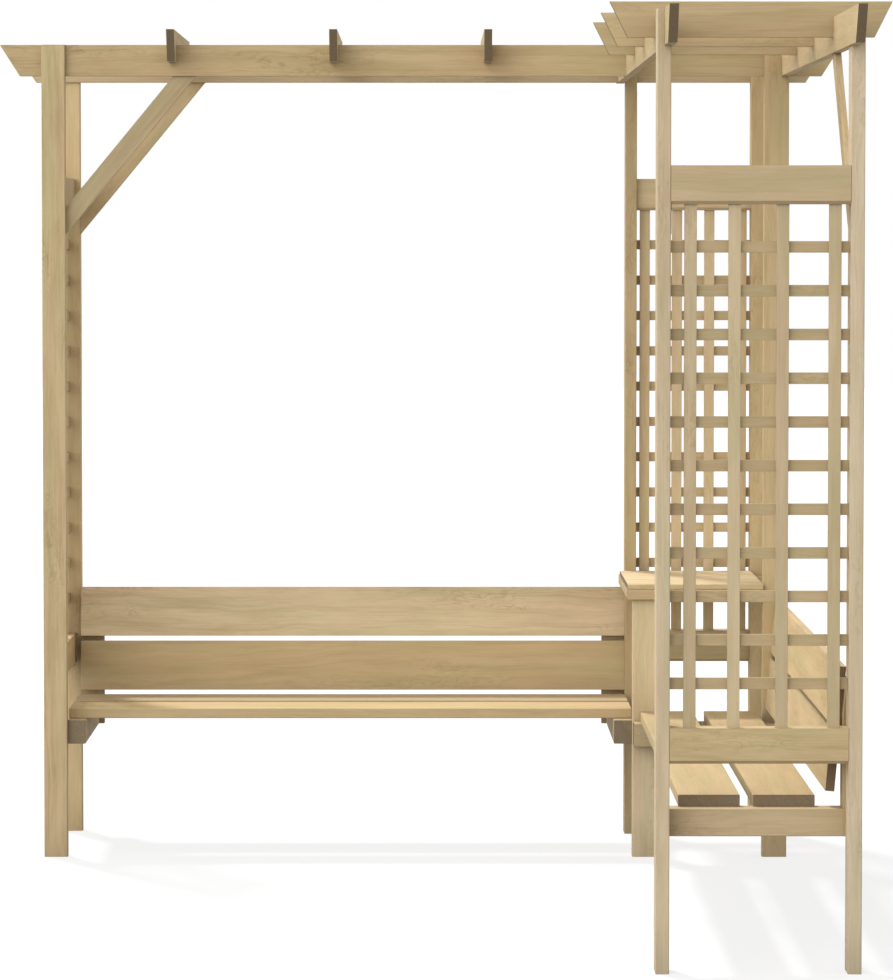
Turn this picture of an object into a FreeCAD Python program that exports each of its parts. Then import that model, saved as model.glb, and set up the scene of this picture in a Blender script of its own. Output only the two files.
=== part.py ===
import FreeCAD, Part
import os
import re
import Sketcher

# Corner arbour seat in planed timber: two slatted benches at a right angle, a corner table
# between them, three trellis panels and a pergola roof of cross-halved beams and rafters.
# Millimetres, +Z up. The origin is on the ground, under the middle of the overall box.
# +X runs along the left bench towards the corner, +Y runs from its front to its back.

SIZES = [
    # posts
    ("post_wide", 60, "wide side of a post"),
    ("post_thick", 30, "narrow side of a post"),
    ("corner_post_wide", 63, "wide side of the posts at the corner"),
    ("post_height", 2102, "ground to post top, also the top of the beams"),
    # plan
    ("left_arm", 1525, "outer face of the left posts to the corner frame"),
    ("right_arm", 1525, "front face of the near posts to the corner frame"),
    ("arm_depth", 450, "depth of each arm over its posts"),
    # beams and rafters
    ("beam_high", 80, "height of a roof beam"),
    ("beam_thick", 20, "thickness of a roof beam"),
    ("beam_rebate", 15, "depth of the rebate in a post that takes a beam"),
    ("beam_slant", 51, "how far a beam's end runs back from its top to its bottom"),
    ("left_overhang", 108, "front and back beams past the left posts, at the top"),
    ("right_overhang", 136, "front and back beams past the corner post, at the top"),
    ("near_overhang", 165, "side beams past the near posts, at the top"),
    ("rear_overhang", 105, "side beams past the corner post, at the top"),
    ("rafter_high", 80, "height of a rafter"),
    ("rafter_thick", 20, "thickness of a rafter"),
    ("rafter_rise", 35, "top of a rafter above the top of the beams"),
    ("rafter_front_overhang", 87, "rafter past the seat front, at the top"),
    ("rafter_back_overhang", 99, "rafter past the back of the arm, at the top"),
    ("rafter_slant", 40, "how far a rafter's end runs back from its top to its bottom"),
    ("rafter_first", 376, "corner frame to the first rafter's middle"),
    ("rafter_second", 772, "corner frame to the second rafter's middle"),
    ("rafter_third", 1188, "corner frame to the third rafter's middle"),
    # braces
    ("brace_wide", 45, "width of a brace"),
    ("brace_thick", 14, "thickness of a brace, flush with one face of its beam"),
    ("brace_run", 278, "brace's upper edge, from the post along the beam"),
    ("brace_drop", 337, "brace's upper edge, from the beam down the post"),
    # trellis panels
    ("panel_top", 1763, "ground to the top of a panel's top rail"),
    ("panel_bottom", 461, "ground to the underside of an end panel's bottom rail"),
    ("corner_panel_bottom", 464, "the same, for the corner panel"),
    ("top_rail_high", 84, "height of a top rail"),
    ("bottom_rail_high", 78, "height of an end panel's bottom rail"),
    ("corner_rail_high", 84, "height of the corner panel's bottom rail"),
    ("rail_thick", 45, "thickness of a rail"),
    ("rail_bevel", 7, "bevel on a rail's lower front edge"),
    ("slat_thick", 9, "thickness of a trellis slat"),
    ("slat_setback", 12, "face of a rail to the face of the uprights"),
    ("upright_wide", 27, "width of an upright slat"),
    ("upright_tenon", 8, "length of an upright let into a rail"),
    ("mortise_clearance", 0.3, "room round an upright's end in its mortise"),
    ("upright_front_gap", 30, "end panels: post by the seat front to the first upright"),
    ("upright_rear_gap", 19, "end panels: last upright to the post behind the seat"),
    ("upright_shift", 9, "end panels: middle uprights set over towards the seat front"),
    ("corner_gap", 10, "corner panel: post to the outer upright"),
    ("lath_high", 25, "height of a level slat"),
    ("lath_top_gap", 80, "top rail to the first level slat"),
    ("lath_bottom_gap", 83, "last level slat to the bottom rail"),
    # benches
    ("seat_height", 380, "ground to the top of the seat planks"),
    ("plank_wide", 136, "width of a seat plank"),
    ("plank_thick", 26, "thickness of a seat plank"),
    ("plank_gap", 29, "gap between the two seat planks"),
    ("plank_front", 55, "face of the arm to the front edge of the seat"),
    ("right_setback", 33, "near posts to the ends of the right bench's boards"),
    ("bearer_wide", 47, "width of a seat bearer"),
    ("bearer_high", 61, "height of a seat bearer"),
    ("bearer_front", 15, "face of the arm to the front end of a bearer"),
    ("corner_bearer_front", 37, "the same, for the right bench's bearer at the corner"),
    ("support_wide", 60, "width of a back support"),
    ("support_thick", 30, "thickness of a back support"),
    ("support_top", 640, "ground to the top of a back support"),
    ("back_lean", 5.3, "lean of the seat back in degrees"),
    ("lean_start", 560, "height where the planed face of a support starts"),
    ("pad_bottom", 463, "ground to the underside of a support's pad"),
    ("pad_top", 517, "ground to the top of a support's pad"),
    ("back_board_wide", 132, "width of a back board"),
    ("back_board_thick", 20, "thickness of a back board"),
    ("back_board_gap", 13, "gap between the two back boards"),
    ("back_board_lift", 7, "seat to the underside of the lower back board"),
    # corner table
    ("table_height", 711, "ground to the top of the table"),
    ("table_thick", 14, "thickness of the table boards and of the edge strips"),
    ("table_board_gap", 3, "gap between two table boards"),
    ("table_edge_high", 27, "height of the edge strips and bearers under the boards"),
    ("table_bearer_wide", 20, "width of a bearer under the table boards"),
    ("table_back_room", 5, "least room between an edge strip and the seat back"),
    # finish
    ("arris", 1.5, "bevel along the long edges of every planed board"),
]

TABLE_BOARDS = 3
LATHS = 11
UPRIGHTS = 4

doc = FreeCAD.newDocument("corner_arbour_seat")
sheet = doc.addObject("Spreadsheet::Sheet", "sizes")
for row, (alias, value, meaning) in enumerate(SIZES, start=1):
    sheet.set(f"A{row}", alias)
    sheet.set(f"B{row}", str(value))
    sheet.set(f"C{row}", meaning)
    sheet.setAlias(f"B{row}", alias)
doc.recompute()

ALIAS = re.compile(r"\b(" + "|".join(alias for alias, value, meaning in SIZES) + r")\b")

# Planes that several pieces share, as expressions of the sizes.
LEFT_INNER = "post_wide"
NEAR_INNER = "(right_arm - post_wide)"
ARM_FACE = "(left_arm - beam_thick + beam_rebate - post_thick)"
REAR_BEAM = "(arm_depth - beam_rebate - beam_thick)"
FRONT_BEAM = "(post_thick - beam_rebate)"
CORNER_BACK = "(arm_depth - beam_rebate)"
CORNER_RIGHT = "(left_arm + arm_depth - post_thick - beam_thick)"
CORNER_POST_LEFT = f"({CORNER_RIGHT} - corner_post_wide)"
INNER_BEAM_X = "(left_arm - beam_thick)"
OUTER_BEAM_X = f"({CORNER_RIGHT} - beam_thick)"
BEAM_UNDER = "(post_height - beam_high)"
RAFTER_UNDER = "(post_height + rafter_rise - rafter_high)"
RAFTER_NOTCH = "((rafter_high - rafter_rise) / 2)"
TABLE_UNDER = "(table_height - table_thick)"
EDGE_UNDER = f"({TABLE_UNDER} - table_edge_high)"
BEARER_UNDER = "(seat_height - plank_thick - bearer_high)"

# The overall box, whose middle on the ground is the origin.
LOW_X = "(0 - left_overhang)"
HIGH_X = f"({CORNER_RIGHT} + right_overhang)"
LOW_Y = "(0 - right_arm - near_overhang)"
HIGH_Y = f"max({CORNER_BACK} + rear_overhang; arm_depth + rafter_back_overhang)"
MIDDLE_X = f"(({LOW_X} + {HIGH_X}) / 2)"
MIDDLE_Y = f"(({LOW_Y} + {HIGH_Y}) / 2)"

# Directions that a piece's own X axis can take in plan.
ALONG_X = 0
ALONG_PLUS_Y = 90
ALONG_MINUS_Y = -90

# Least cosine of the angle between two lines that count as parallel.
PARALLEL = 0.999


def in_sheet(expression):
    """Point the sizes named in an expression at their cells."""
    return ALIAS.sub(r"sizes.\1", expression)


def value_of(expression):
    """The present value of an expression of the sizes."""
    return float(sheet.evalExpression(in_sheet(expression)))


def bind(thing, prop, expression):
    """Tie one property of an object to an expression of the sizes."""
    thing.setExpression(prop, in_sheet(expression))


def place(thing, x, y, z, turn=ALONG_X):
    """Put an object's own origin at a point of the plan, turned about the vertical."""
    rotation = FreeCAD.Rotation(FreeCAD.Vector(0, 0, 1), turn)
    thing.Placement = FreeCAD.Placement(FreeCAD.Vector(0, 0, 0), rotation)
    bind(thing, ".Placement.Base.x", f"({x}) - {MIDDLE_X}")
    bind(thing, ".Placement.Base.y", f"({y}) - {MIDDLE_Y}")
    bind(thing, ".Placement.Base.z", z)
    return thing


def block(name, length, depth, height):
    """A square-edged block whose sides are expressions."""
    box = doc.addObject("Part::Box", name)
    bind(box, "Length", length)
    bind(box, "Width", depth)
    bind(box, "Height", height)
    return box


def long_edges(shape, axis):
    """Numbers of the edges that run along one axis of a shape."""
    numbers = []
    for number, edge in enumerate(shape.Edges, start=1):
        if abs(edge.tangentAt(edge.FirstParameter).dot(axis)) > PARALLEL:
            numbers.append(number)
    return numbers


def planed(label, length, depth, height, x, y, z, turn=ALONG_X):
    """A board with its long edges eased, as it leaves the planer."""
    box = place(block(label + "_stock", length, depth, height), x, y, z, turn)
    doc.recompute()
    sides = [
        (box.Length.Value, FreeCAD.Vector(1, 0, 0)),
        (box.Width.Value, FreeCAD.Vector(0, 1, 0)),
        (box.Height.Value, FreeCAD.Vector(0, 0, 1)),
    ]
    axis = max(sides, key=lambda side: side[0])[1]
    axis = box.Placement.Rotation.multVec(axis)
    board = doc.addObject("Part::Chamfer", label)
    board.Base = box
    arris = value_of("arris")
    board.Edges = [(number, arris, arris) for number in long_edges(box.Shape, axis)]
    board.Label = label
    return board


def without(label, base, tools):
    """A board with pieces cut out of it."""
    base.Label = label + "_uncut"
    tool = tools[0]
    if len(tools) > 1:
        tool = doc.addObject("Part::Compound", label + "_cuts")
        tool.Links = tools
    result = doc.addObject("Part::Cut", label)
    result.Base = base
    result.Tool = tool
    result.Label = label
    return result


def group(label, members):
    """Like pieces kept together as separate solids."""
    result = doc.addObject("Part::Compound", label)
    result.Links = members
    result.Label = label
    return result


def outline(body, name, role, loops):
    """A sketch of closed straight-sided loops, each corner held at two expressions."""
    plane = [item for item in body.Origin.OriginFeatures if item.Role == role][0]
    sketch = body.newObject("Sketcher::SketchObject", name)
    sketch.AttachmentSupport = [(plane, "")]
    sketch.MapMode = "FlatFace"
    first = 0
    for corners in loops:
        points = [FreeCAD.Vector(value_of(u), value_of(v), 0) for u, v in corners]
        count = len(points)
        for i in range(count):
            sketch.addGeometry(Part.LineSegment(points[i], points[(i + 1) % count]), False)
        for i in range(count):
            after = first + (i + 1) % count
            sketch.addConstraint(Sketcher.Constraint("Coincident", first + i, 2, after, 1))
        for i, (u, v) in enumerate(corners):
            hold(sketch, first + i, "DistanceX", u, -2)
            hold(sketch, first + i, "DistanceY", v, -1)
        first += count
    return sketch


def hold(sketch, line, kind, expression, axis):
    """Hold the start of a line at a distance from the sketch's origin, or on its axis."""
    if expression == "0":
        sketch.addConstraint(Sketcher.Constraint("PointOnObject", line, 1, axis))
        return
    distance = value_of(expression)
    number = sketch.addConstraint(Sketcher.Constraint(kind, -1, 1, line, 1, distance))
    bind(sketch, f"Constraints[{number}]", expression)


def check_cut(body, before):
    """A pocket that points away from the solid cuts nothing and shows no error."""
    if body.Shape.Volume > before - 1:
        raise RuntimeError(body.Label + ": a notch cuts nothing")


def shaped(label, role, corners, thickness, notches=()):
    """A board cut to a profile in one of its own planes, with notches through it."""
    body = doc.addObject("PartDesign::Body", label)
    body.Label = label
    pad = body.newObject("PartDesign::Pad", label + "_board")
    pad.Profile = outline(body, label + "_profile", role, [corners])
    pad.Reversed = role == "XZ_Plane"
    bind(pad, "Length", thickness)
    doc.recompute()
    if notches:
        before = body.Shape.Volume
        pocket = body.newObject("PartDesign::Pocket", label + "_notches")
        pocket.Profile = outline(body, label + "_notch_outlines", role, notches)
        pocket.Type = "ThroughAll"
        pocket.Reversed = role == "YZ_Plane"
        doc.recompute()
        check_cut(body, before)
    return body


def rectangle(u, v, width, height):
    """The four corners of an upright rectangle, from its lowest corner."""
    right = f"({u}) + ({width})"
    top = f"({v}) + ({height})"
    return [(u, v), (right, v), (right, top), (u, top)]


def slot(label, length, depth, height, x, y, z, turn=ALONG_X):
    """A block that another piece's seat is cut with."""
    return place(block(label, length, depth, height), x, y, z, turn)


# Posts

def post(label, wide_x, wide_y, x, y, height="post_height"):
    return planed(label, wide_x, wide_y, height, x, y, "0")


def beam_seat_x(label, y):
    """The room that a beam running along X takes out of a post."""
    span = f"({HIGH_X} - {LOW_X})"
    return slot(label, span, "beam_thick", "beam_high", LOW_X, y, BEAM_UNDER)


def beam_seat_y(label, x):
    """The room that a beam running along Y takes out of a post."""
    span = f"({HIGH_Y} - {LOW_Y})"
    return slot(label, "beam_thick", span, "beam_high", x, LOW_Y, BEAM_UNDER)


def make_posts():
    wide, thick, corner = "post_wide", "post_thick", "corner_post_wide"
    near_y = "(0 - right_arm)"
    outer_x = f"({ARM_FACE} + arm_depth - post_thick)"
    back_y = "(arm_depth - post_thick)"
    corner_y = f"({CORNER_BACK} - {corner})"
    plan = [
        ("left_front_post", wide, thick, "0", "0", FRONT_BEAM, None),
        ("left_back_post", wide, thick, "0", back_y, REAR_BEAM, None),
        ("near_inner_post", thick, wide, ARM_FACE, near_y, None, INNER_BEAM_X),
        ("near_outer_post", thick, wide, outer_x, near_y, None, OUTER_BEAM_X),
        ("corner_side_post", corner, thick, CORNER_POST_LEFT, "0", FRONT_BEAM, OUTER_BEAM_X),
        ("corner_rear_post", thick, corner, "left_arm", corner_y, REAR_BEAM, None),
        ("corner_post", corner, corner, CORNER_POST_LEFT, corner_y, REAR_BEAM, OUTER_BEAM_X),
    ]
    made = []
    for label, wide_x, wide_y, x, y, cross_y, cross_x in plan:
        seats = []
        if cross_y:
            seats.append(beam_seat_x(label + "_seat_x", cross_y))
        if cross_x:
            seats.append(beam_seat_y(label + "_seat_y", cross_x))
        stock = post(label + "_length", wide_x, wide_y, x, y)
        made.append(without(label, stock, seats))
    made.append(post("table_leg", wide, thick, "left_arm", "0", TABLE_UNDER))
    return made


# Roof: beams halved into each other, rafters halved over the beams

def beam(label, length, arm, first_overhang, crossings, halved_from_top):
    """A roof beam with slanted ends, half laps at its crossings and rafter notches."""
    corners = [
        ("beam_slant", "0"),
        (f"{length} - beam_slant", "0"),
        (length, "beam_high"),
        ("0", "beam_high"),
    ]
    notches = []
    for crossing in crossings:
        start = f"{first_overhang} + {crossing}"
        base = "beam_high / 2" if halved_from_top else "0"
        notches.append(rectangle(start, base, "beam_thick", "beam_high / 2"))
    for distance in ("rafter_first", "rafter_second", "rafter_third"):
        start = f"{first_overhang} + {arm} - {distance} - rafter_thick / 2"
        notches.append(rectangle(start, f"beam_high - {RAFTER_NOTCH}", "rafter_thick", RAFTER_NOTCH))
    return shaped(label, "XZ_Plane", corners, "beam_thick", notches)


def make_beams():
    span_x = f"({HIGH_X} - {LOW_X})"
    span_y = f"({CORNER_BACK} + rear_overhang + right_arm + near_overhang)"
    made = []
    for label, y in (("front_beam", FRONT_BEAM), ("back_beam", REAR_BEAM)):
        crossings = [INNER_BEAM_X, OUTER_BEAM_X]
        piece = beam(label, span_x, "left_arm", "left_overhang", crossings, True)
        made.append(place(piece, LOW_X, y, BEAM_UNDER))
    for label, x in (("inner_side_beam", "left_arm"), ("outer_side_beam", CORNER_RIGHT)):
        crossings = [f"right_arm + {FRONT_BEAM}", f"right_arm + {REAR_BEAM}"]
        piece = beam(label, span_y, "right_arm", "near_overhang", crossings, False)
        made.append(place(piece, x, LOW_Y, BEAM_UNDER, ALONG_PLUS_Y))
    return made


def rafter(label):
    length = "arm_depth + rafter_front_overhang + rafter_back_overhang"
    corners = [
        ("rafter_slant", "0"),
        (f"{length} - rafter_slant", "0"),
        (length, "rafter_high"),
        ("0", "rafter_high"),
    ]
    notches = []
    for seat in (FRONT_BEAM, REAR_BEAM):
        start = f"rafter_front_overhang + {seat}"
        notches.append(rectangle(start, "0", "beam_thick", RAFTER_NOTCH))
    return shaped(label, "XZ_Plane", corners, "rafter_thick", notches)


def make_rafters():
    made = []
    distances = ("rafter_first", "rafter_second", "rafter_third")
    for number, distance in enumerate(distances, start=1):
        left = rafter(f"left_rafter_{number}")
        x = f"left_arm - {distance} + rafter_thick / 2"
        made.append(place(left, x, "0 - rafter_front_overhang", RAFTER_UNDER, ALONG_PLUS_Y))
        right = rafter(f"right_rafter_{number}")
        y = f"0 - {distance} - rafter_thick / 2"
        made.append(place(right, f"{ARM_FACE} - rafter_front_overhang", y, RAFTER_UNDER))
    return made


def brace(label):
    """A brace with a plumb cut at the post and a level cut at the beam."""
    slope = "sqrt(brace_run ^ 2 + brace_drop ^ 2)"
    rise = f"brace_wide * {slope} / brace_run"
    reach = f"brace_wide * {slope} / brace_drop"
    corners = [
        ("0", "0"),
        (f"brace_run + {reach}", f"brace_drop + {rise}"),
        ("brace_run", f"brace_drop + {rise}"),
        ("0", rise),
    ]
    return shaped(label, "XZ_Plane", corners, "brace_thick"), f"{BEAM_UNDER} - brace_drop - {rise}"


def make_braces():
    made = []
    for label, y in (("left_front_brace", FRONT_BEAM), ("left_back_brace", REAR_BEAM)):
        piece, foot = brace(label)
        made.append(place(piece, LEFT_INNER, f"{y} + beam_thick - brace_thick", foot))
    for label, x in (("right_inner_brace", "left_arm"), ("right_outer_brace", CORNER_RIGHT)):
        piece, foot = brace(label)
        made.append(place(piece, x, f"0 - {NEAR_INNER}", foot, ALONG_PLUS_Y))
    return made


# Trellis panels: two rails, uprights let into the rails, level slats behind the uprights

TOP_RAIL_UNDER = "(panel_top - top_rail_high)"
FIRST_LATH = f"({TOP_RAIL_UNDER} - lath_top_gap - lath_high)"
LAST_LATH = "(panel_bottom + bottom_rail_high + lath_bottom_gap)"


def panel(name, clear, x, y, turn, starts, bottom="panel_bottom", rail_high="bottom_rail_high"):
    """One panel in the clear width between two posts, its own X running along it."""
    bottom_over = f"({bottom} + {rail_high})"
    run_x, run_y = (1, 0) if turn == ALONG_X else (0, -1)
    deep_x, deep_y = (0, 1) if turn == ALONG_X else (1, 0)

    def at(thing, along, deep, z):
        """Place a piece by its distance along the panel and behind the panel's face."""
        px = f"{x} + ({along}) * {run_x} + ({deep}) * {deep_x}"
        py = f"{y} + ({along}) * ({run_y}) + ({deep}) * {deep_y}"
        return place(thing, px, py, z, turn)

    def rail(label, height, under, mortise_floor):
        corners = [
            ("rail_bevel", "0"),
            ("rail_thick", "0"),
            ("rail_thick", height),
            ("0", height),
            ("0", "rail_bevel"),
        ]
        stock = at(shaped(label + "_stock", "YZ_Plane", corners, clear), "0", "0", under)
        cuts = []
        for number, start in enumerate(starts, start=1):
            wide = "upright_wide + 2 * mortise_clearance"
            deep = "slat_thick + 2 * mortise_clearance"
            cut = block(f"{label}_mortise_{number}", wide, deep, "upright_tenon")
            along = f"{start} - mortise_clearance"
            cuts.append(at(cut, along, "slat_setback - mortise_clearance", mortise_floor))
        return without(label, stock, cuts)

    top_rail = rail(f"{name}_top_rail", "top_rail_high", TOP_RAIL_UNDER, TOP_RAIL_UNDER)
    floor = f"{bottom_over} - upright_tenon"
    bottom_rail = rail(f"{name}_bottom_rail", rail_high, bottom, floor)

    uprights = []
    for number, start in enumerate(starts, start=1):
        height = f"{TOP_RAIL_UNDER} - {bottom_over} + 2 * upright_tenon"
        slat = block(f"{name}_upright_{number}", "upright_wide", "slat_thick", height)
        uprights.append(at(slat, start, "slat_setback", floor))

    laths = []
    pitch = f"(({FIRST_LATH} - {LAST_LATH}) / {LATHS - 1})"
    for number in range(LATHS):
        slat = block(f"{name}_lath_{number + 1}", clear, "slat_thick", "lath_high")
        z = f"{FIRST_LATH} - {number} * {pitch}"
        laths.append(at(slat, "0", "slat_setback + slat_thick", z))

    return [
        top_rail,
        bottom_rail,
        group(f"{name}_trellis_uprights", uprights),
        group(f"{name}_trellis_laths", laths),
    ]


def upright_starts(clear, first_gap, last_gap, shift):
    """Where each upright starts, the middle ones set over by a shift."""
    pitch = f"(({clear} - {first_gap} - {last_gap} - upright_wide) / {UPRIGHTS - 1})"
    starts = []
    for number in range(UPRIGHTS):
        start = f"{first_gap} + {number} * {pitch}"
        if 0 < number < UPRIGHTS - 1:
            start += f" + ({shift})"
        starts.append(start)
    return starts


def make_panels():
    end_clear = "(arm_depth - 2 * post_thick)"
    corner_clear = f"({CORNER_POST_LEFT} - left_arm - post_thick)"
    near_starts = upright_starts(end_clear, "upright_front_gap", "upright_rear_gap", "0 - upright_shift")
    left_starts = upright_starts(end_clear, "upright_rear_gap", "upright_front_gap", "upright_shift")
    corner_starts = upright_starts(corner_clear, "corner_gap", "corner_gap", "0")
    near_x = f"{ARM_FACE} + post_thick"
    corner_x = "left_arm + post_thick"
    corner_y = f"{CORNER_BACK} - rail_thick"
    made = panel("near", end_clear, near_x, "0 - right_arm", ALONG_X, near_starts)
    made += panel("left", end_clear, "0", "arm_depth - post_thick", ALONG_MINUS_Y, left_starts)
    made += panel(
        "corner", corner_clear, corner_x, corner_y, ALONG_X, corner_starts,
        "corner_panel_bottom", "corner_rail_high",
    )
    return made


# Benches: both are set out in the same way, the right one turned a quarter turn

# Room in front of a leaning piece's sketch origin, so that every corner has a positive distance.
PAD_ROOM = "(lean_start * tan(back_lean))"
BOARD_ROOM = "(back_board_thick * 2)"
LOWER_BOARD_UNDER = "(seat_height + back_board_lift)"
UPPER_BOARD_UNDER = f"({LOWER_BOARD_UNDER} + (back_board_wide + back_board_gap) * cos(back_lean))"
BACK_TOP = f"({UPPER_BOARD_UNDER} + back_board_wide * cos(back_lean) + back_board_thick * sin(back_lean))"


def make_bench(name, turn, length, board_length, first_bearer_front):
    """A bench between an end frame and the corner frame, its own X running along the seat."""
    if turn == ALONG_X:
        start_x, start_y = LEFT_INNER, "0"
    else:
        start_x, start_y = ARM_FACE, "0"

    def spot(along, deep):
        """The plan position of a point given along the seat and back from the arm's face."""
        if turn == ALONG_X:
            return f"{start_x} + ({along})", f"{start_y} + ({deep})"
        return f"{start_x} + ({deep})", f"{start_y} - ({along})"

    made = []
    second = "plank_front + plank_wide + plank_gap"
    for label, deep in ((f"{name}_front_plank", "plank_front"), (f"{name}_rear_plank", second)):
        px, py = spot("0", deep)
        z = "seat_height - plank_thick"
        made.append(planed(label, board_length, "plank_wide", "plank_thick", px, py, z, turn))

    last = f"{length} - bearer_wide"
    fronts = ((1, "0", first_bearer_front), (2, last, "bearer_front"))
    for number, along, front in fronts:
        px, py = spot(along, front)
        depth = f"{REAR_BEAM} - {front}"
        label = f"{name}_bearer_{number}"
        made.append(planed(label, "bearer_wide", depth, "bearer_high", px, py, BEARER_UNDER, turn))

    for number, along in ((1, "0"), (2, f"{length} - support_wide")):
        px, py = spot(along, f"{REAR_BEAM} - {PAD_ROOM}")
        piece = back_support(f"{name}_back_support_{number}")
        made.append(place(piece, px, py, BEARER_UNDER, turn))

    for row, under in (("lower", LOWER_BOARD_UNDER), ("upper", UPPER_BOARD_UNDER)):
        label = f"{name}_{row}_back_board"
        px, py = spot("0", f"{back_plane(under)} - {BOARD_ROOM}")
        made.append(place(back_board(label, board_length), px, py, under, turn))
    return made


def back_plane(height):
    """Depth of the plane behind the back boards, from the arm's face, at a height."""
    return f"({REAR_BEAM} - (lean_start - {height}) * tan(back_lean))"


def back_support(label):
    """An upright with a pad for the lower board and a planed face for the upper one."""
    face = PAD_ROOM
    back = f"{face} + support_thick"
    top = f"support_top - {BEARER_UNDER}"

    def on_plane(height):
        depth = f"{face} - (lean_start - {height}) * tan(back_lean)"
        return depth, f"{height} - {BEARER_UNDER}"

    corners = [
        (face, "0"),
        (back, "0"),
        (back, top),
        on_plane("support_top"),
        on_plane("lean_start"),
        (face, f"pad_top - {BEARER_UNDER}"),
        on_plane("pad_top"),
        on_plane("pad_bottom"),
        (face, f"pad_bottom - {BEARER_UNDER}"),
    ]
    return shaped(label, "YZ_Plane", corners, "support_wide")


def back_board(label, length):
    """A back board at its lean, the foot of its rear face at its own origin."""
    back = BOARD_ROOM
    high = "back_board_wide * cos(back_lean)"
    out = "back_board_wide * sin(back_lean)"
    deep = "back_board_thick * cos(back_lean)"
    lift = "back_board_thick * sin(back_lean)"
    corners = [
        (back, "0"),
        (f"{back} + {out}", high),
        (f"{back} + {out} - {deep}", f"{high} + {lift}"),
        (f"{back} - {deep}", lift),
    ]
    return shaped(label, "YZ_Plane", corners, length)


# Corner table

def make_table():
    left = "(left_arm - table_thick)"
    front = "(0 - table_thick)"
    back = f"({CORNER_BACK} - corner_post_wide)"
    length = f"({CORNER_POST_LEFT} - {left})"
    gaps = f"{TABLE_BOARDS - 1} * table_board_gap"
    board = f"(({back} - {front} - {gaps}) / {TABLE_BOARDS})"
    made = []
    for number in range(TABLE_BOARDS):
        y = f"{front} + {number} * ({board} + table_board_gap)"
        label = f"table_board_{number + 1}"
        made.append(planed(label, length, board, "table_thick", left, y, TABLE_UNDER))

    thick, high, wide = "table_thick", "table_edge_high", "table_bearer_wide"
    seat_back = f"{back_plane(EDGE_UNDER)} - back_board_thick / cos(back_lean) - table_back_room"
    run = f"({EDGE_UNDER} > {BACK_TOP} ? {CORNER_BACK} : {seat_back})"
    made.append(planed("table_front_edge", length, thick, high, left, front, EDGE_UNDER))
    made.append(planed("table_left_edge", thick, run, high, left, "0", EDGE_UNDER))

    rear_y = f"{back} - {wide}"
    rear = f"({CORNER_RIGHT} - left_arm)"
    made.append(planed("table_rear_bearer", rear, wide, high, "left_arm", rear_y, EDGE_UNDER))
    side_x = f"{CORNER_POST_LEFT} - {wide}"
    made.append(planed("table_side_bearer", wide, rear_y, high, side_x, "0", EDGE_UNDER))
    return made


def make_all():
    pieces = make_posts()
    pieces += make_beams()
    pieces += make_rafters()
    pieces += make_braces()
    pieces += make_panels()
    left_seat = f"(left_arm - {LEFT_INNER})"
    right_seat = NEAR_INNER
    pieces += make_bench("left", ALONG_X, left_seat, left_seat, "bearer_front")
    short = f"{right_seat} - right_setback"
    pieces += make_bench("right", ALONG_MINUS_Y, right_seat, short, "corner_bearer_front")
    pieces += make_table()
    return pieces


pieces = make_all()
doc.recompute()

for thing in doc.Objects:
    if "Invalid" in thing.State or "Error" in thing.State:
        raise RuntimeError(f"{thing.Label}: {thing.State}")
for piece in pieces:
    if piece.Shape.isNull() or not piece.Shape.isValid():
        raise RuntimeError(f"{piece.Label}: the shape is not valid")

os.makedirs("parts", exist_ok=True)
for piece in pieces:
    piece.Shape.exportStep(f"parts/{piece.Label}.step")
print(f"{len(pieces)} pieces written")
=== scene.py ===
import math
import random

import bpy
from bpy.props import FloatProperty, FloatVectorProperty, IntProperty, PointerProperty
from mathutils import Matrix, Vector


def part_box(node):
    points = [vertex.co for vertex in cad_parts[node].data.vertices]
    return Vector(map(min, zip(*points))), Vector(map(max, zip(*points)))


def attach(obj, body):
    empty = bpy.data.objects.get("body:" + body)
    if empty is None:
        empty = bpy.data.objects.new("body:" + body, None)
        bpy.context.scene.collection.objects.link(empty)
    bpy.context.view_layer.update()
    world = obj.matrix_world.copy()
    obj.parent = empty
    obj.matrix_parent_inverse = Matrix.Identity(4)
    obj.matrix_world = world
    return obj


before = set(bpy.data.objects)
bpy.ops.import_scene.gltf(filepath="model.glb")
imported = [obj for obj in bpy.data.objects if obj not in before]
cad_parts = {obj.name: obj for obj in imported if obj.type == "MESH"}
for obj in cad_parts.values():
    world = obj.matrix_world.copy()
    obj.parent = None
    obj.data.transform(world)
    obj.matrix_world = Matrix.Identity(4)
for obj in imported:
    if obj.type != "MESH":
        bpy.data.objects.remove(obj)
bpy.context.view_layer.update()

bl_info = {
    "name": "Corner Arbour Seat",
    "version": (1, 0, 0),
    "blender": (4, 5, 0),
    "location": "View3D > Sidebar > Arbour",
    "description": "Finishes a timber corner arbour seat and sets up its stage",
    "category": "Object",
}

# Directions that the grain of a piece can take.
ALONG_X = Vector((1, 0, 0))
ALONG_Y = Vector((0, 1, 0))
UPRIGHT = Vector((0, 0, 1))

# Slats of a trellis panel, and the width of each.
UPRIGHTS = 4
LATHS = 11
SLAT_SIZES = {UPRIGHTS: 0.027, LATHS: 0.025}

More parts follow.
